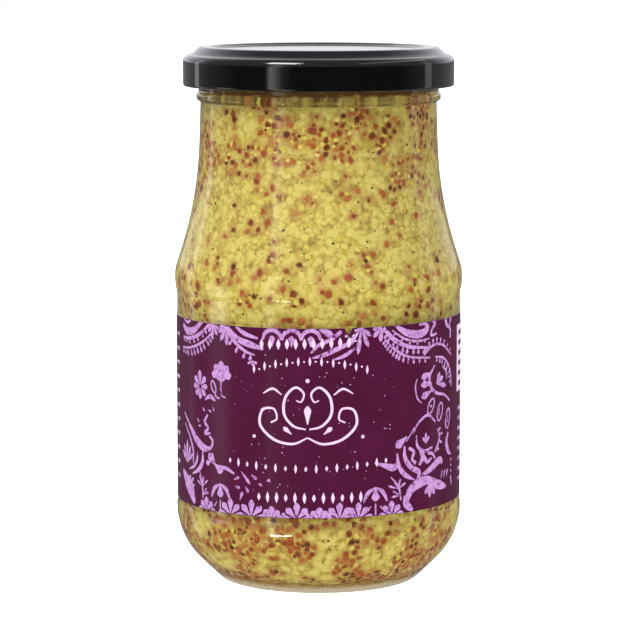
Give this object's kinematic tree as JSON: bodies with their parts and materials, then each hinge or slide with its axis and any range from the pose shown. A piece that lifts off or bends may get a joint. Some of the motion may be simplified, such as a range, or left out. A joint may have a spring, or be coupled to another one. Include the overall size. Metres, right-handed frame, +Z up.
{
  "type": "glass jar of whole-grain mustard",
  "caption": "Round glass jar with a waisted neck and a recessed label panel, full of whole-grain mustard, closed with a black twist-off lid and wrapped in a paper label.",
  "frame": {"origin": "centre of the foot, on the surface that the jar stands on", "axes": "+Z up along the jar's axis, -Y towards the front of the label, +X to the right as seen from the front"},
  "size_m": [0.0707, 0.0708, 0.1308],
  "materials": {
    "clear_glass": "clear moulded soda-lime glass",
    "black_lacquer": "gloss black lacquer on tinplate",
    "mustard": "moist yellow paste with whole red-brown and yellow seeds",
    "label_paper": "satin coated paper, plum ground with lilac flowers"
  },
  "bodies": {
    "root": {"glass_jar": "clear_glass", "lid": "black_lacquer", "mustard": "mustard", "label": "label_paper"}
  },
  "joints": []
}
